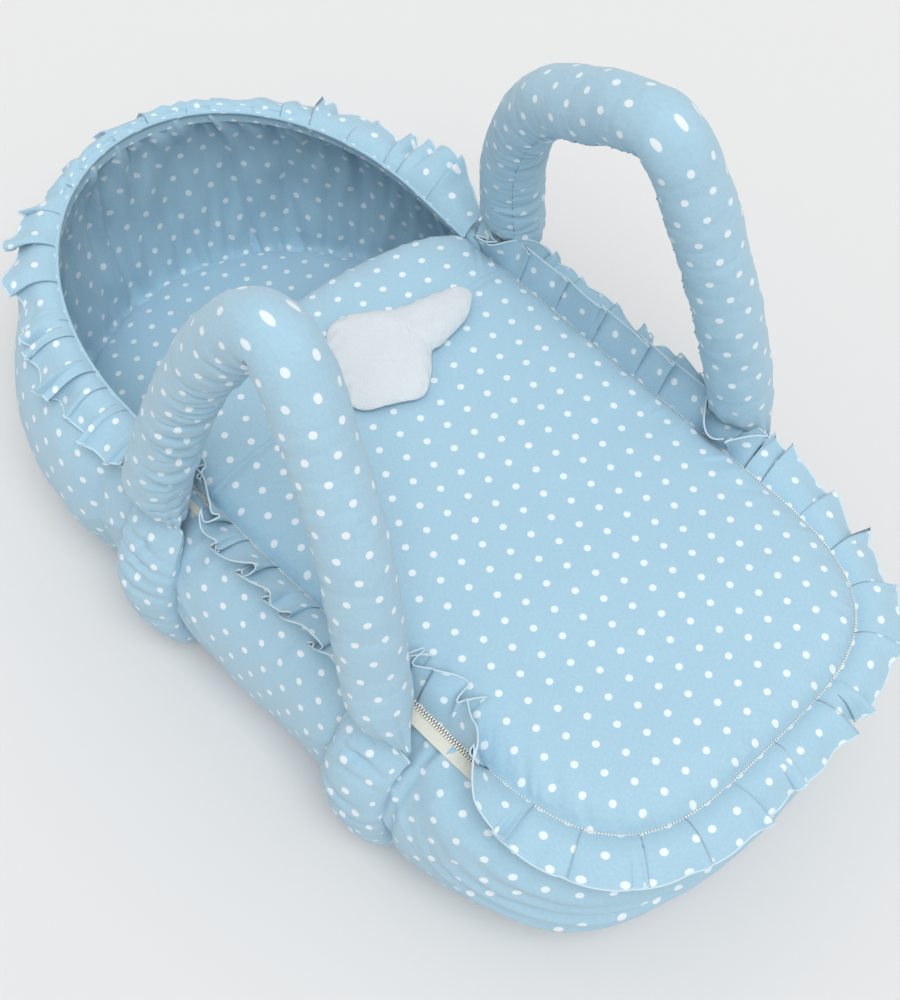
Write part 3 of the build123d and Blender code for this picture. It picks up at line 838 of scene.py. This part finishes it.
base_xy, length = band("zip_tape_nest_cloth", 2.2, 12.0, RIM_Z + 2.6, TAPE, "zip_tape", "nest",
                       "zip_tape_nest")
band("zip_tape_cover_cloth", -8.0, -2.2, RIM_Z + 2.4, TAPE, "zip_tape", "cover", "zip_tape_cover")
for name, off, z, body in (("nest", 1.5, RIM_Z + 3.4, "nest"), ("cover", -1.5, RIM_Z + 3.4, "cover")):
    pick = zip_order()
    outward = seam_out[pick, :2]
    marks = np.arange(0, length[-1], TOOTH_PITCH) + (0 if name == "nest" else TOOTH_PITCH / 2)
    verts, faces = [], []
    for s in marks:
        p = np.array([np.interp(s, length, base_xy[:, k]) for k in range(2)])
        o = np.array([np.interp(s, length, outward[:, k]) for k in range(2)])
        o /= np.linalg.norm(o)
        along = np.array([-o[1], o[0]])
        b = len(verts)
        for dz in (-0.6, 0.7):
            for i, j in ((-1.4, -0.7), (1.4, -0.7), (1.4, 0.7), (-1.4, 0.7)):
                c = p + o * (off + i * (0.9 if dz > 0 else 1)) + along * j
                verts.append((c[0] / 1000, c[1] / 1000, (z + dz) / 1000))
        faces += [(b, b + 3, b + 2, b + 1), (b + 4, b + 5, b + 6, b + 7)]
        faces += [(b + i, b + (i + 1) % 4, b + 4 + (i + 1) % 4, b + 4 + i) for i in range(4)]
    data = bpy.data.meshes.new(f"zip_coil_{name}_teeth")
    data.from_pydata(verts, [], faces)
    obj = bpy.data.objects.new(f"zip_coil_{name}_teeth", data)
    bpy.context.scene.collection.objects.link(obj)
    dress(obj, COIL, "zip_coil", body, f"zip_coil_{name}")
for node in ("zip_slider", "zip_pull"):
    obj = frame["nodes"][node]
    obj.data.materials.clear()
    obj.data.materials.append(METAL)

# ---- rim piping under the head frill -----------------------------------------------------------
keep = head_path + np.array([0, 0, 0.5])
ang = np.linspace(0, 2 * math.pi, 12, endpoint=False)
g = keep[None] + head_out[None] * (1.5 * np.cos(ang))[:, None, None]
g = g + np.array([0, 0, 1.0]) * (1.5 * np.sin(ang))[:, None, None]
g = np.transpose(g, (1, 0, 2))
run = np.r_[0, np.cumsum(np.linalg.norm(np.diff(keep, axis=0), axis=1))]
uv = np.stack(np.broadcast_arrays(np.linspace(0, 20, 13)[None, :], run[:, None]), 2)
piping = cloth_mesh("rim_piping", g, uv, closed=True, cap_first=True, cap_last=True)
dress(piping, COTTON, "dotted_cotton", "nest", "rim_binding_head")

# ---- cloud cushion -----------------------------------------------------------------------------
low, high = box_mm("cloud_cushion")
middle = np.array([low[0] + 83.0, low[1] + 44.0])
shape = np.array([(60, 8), (66, -3), (58, -12), (43, -20), (14, -24), (4, -24), (-9, -37), (-28, -49),
                  (-46, -41),
                  (-72, -26), (-73, -6), (-59, 25), (-40, 47), (-19, 45), (10, 25), (35, 17)], float)
loop = np.vstack([shape[-2:], shape, shape[:3]])
fine = catmull(loop, np.linspace(2 / (len(loop) - 1), 1 - 2 / (len(loop) - 1), 261))[:-1][::-1]
across_fine = np.r_[0, np.cumsum(np.linalg.norm(np.diff(fine, axis=0), axis=1))]
top_z = cover_height(middle[None])[0] + 0.5
rows_g = []
for half_sign in (1, -1):
    shares = np.sin(np.linspace(0.02, math.pi / 2, 34))
    shares = shares if half_sign > 0 else shares[::-1][1:]
    for q in shares:
        p = middle + fine * q
        dome = np.clip(1 - q**2.4, 0, 1) ** 0.6
        narrow = np.clip(np.linalg.norm(fine, axis=1) / 55, 0.75, 1.1)
        h = dome * 12.0 * (1 + 0.25 * (1 - narrow)) if half_sign > 0 else -dome * 8.0
        ripple = 0.9 * np.sin(across_fine / 2.6 + 2 * np.sin(across_fine / 23)) * bump(q, 0.93, 0.06)
        rows_g.append(np.column_stack([p, top_z + 7.5 + h + ripple * half_sign]))
g = np.array(rows_g)
g[..., 2] += 0.9 * waves(g, 22, 91)
cloud = cloth_mesh("cloud_cushion_soft", g, planar(g), closed=True, cap_first=True, cap_last=True)
dress(cloud, FLEECE, "white_fleece", "cover", "cloud_cushion")

# ---- floor, light and camera -------------------------------------------------------------------
bpy.ops.mesh.primitive_plane_add(size=30, location=(0, 0, -0.0005))
floor = bpy.context.object
floor.name = "floor"
m = bpy.data.materials.new("studio_floor")
m.use_nodes = True
m.node_tree.nodes["Principled BSDF"].inputs["Base Color"].default_value = (0.70, 0.70, 0.70, 1)
m.node_tree.nodes["Principled BSDF"].inputs["Roughness"].default_value = 0.9
floor.data.materials.append(m)

world = bpy.context.scene.world or bpy.data.worlds.new("studio")
bpy.context.scene.world = world
world.use_nodes = True
sky = world.node_tree
place = sky.nodes.new("ShaderNodeTexCoord")
split = sky.nodes.new("ShaderNodeSeparateXYZ")
link(sky, place.outputs["Generated"], split.inputs[0])
overhead = math_node(sky, "MULTIPLY_ADD", split.outputs[2], 0.95)
overhead.node.inputs[2].default_value = 0.08
horizon = math_node(sky, "MULTIPLY_ADD", split.outputs[2], -2.6)
horizon.node.inputs[2].default_value = 0.80
backdrop = math_node(sky, "MINIMUM", horizon, 0.80)
link(sky, math_node(sky, "MAXIMUM", overhead, backdrop), sky.nodes["Background"].inputs[1])
sky.nodes["Background"].inputs[0].default_value = (1, 1, 1, 1)

sun_data = bpy.data.lights.new("softbox", "SUN")
sun_data.energy = 1.6
sun_data.angle = math.radians(34)
sun = bpy.data.objects.new("softbox", sun_data)
sun.rotation_euler = Vector((-0.22, -0.40, 1.0)).to_track_quat("Z", "Y").to_euler()
bpy.context.scene.collection.objects.link(sun)

camera_data = bpy.data.cameras.new("camera")
camera_data.lens = 66.9
camera_data.sensor_width = 36
camera_data.sensor_fit = "AUTO"
camera = bpy.data.objects.new("camera", camera_data)
camera.location = (-0.5337, -0.5565, 1.3931)
camera.rotation_euler = [math.radians(v) for v in (30.449, -0.949, -44.006)]
bpy.context.scene.collection.objects.link(camera)
bpy.context.scene.camera = camera
bpy.context.scene.view_settings.view_transform = "Standard"

bpy.context.view_layer.update()
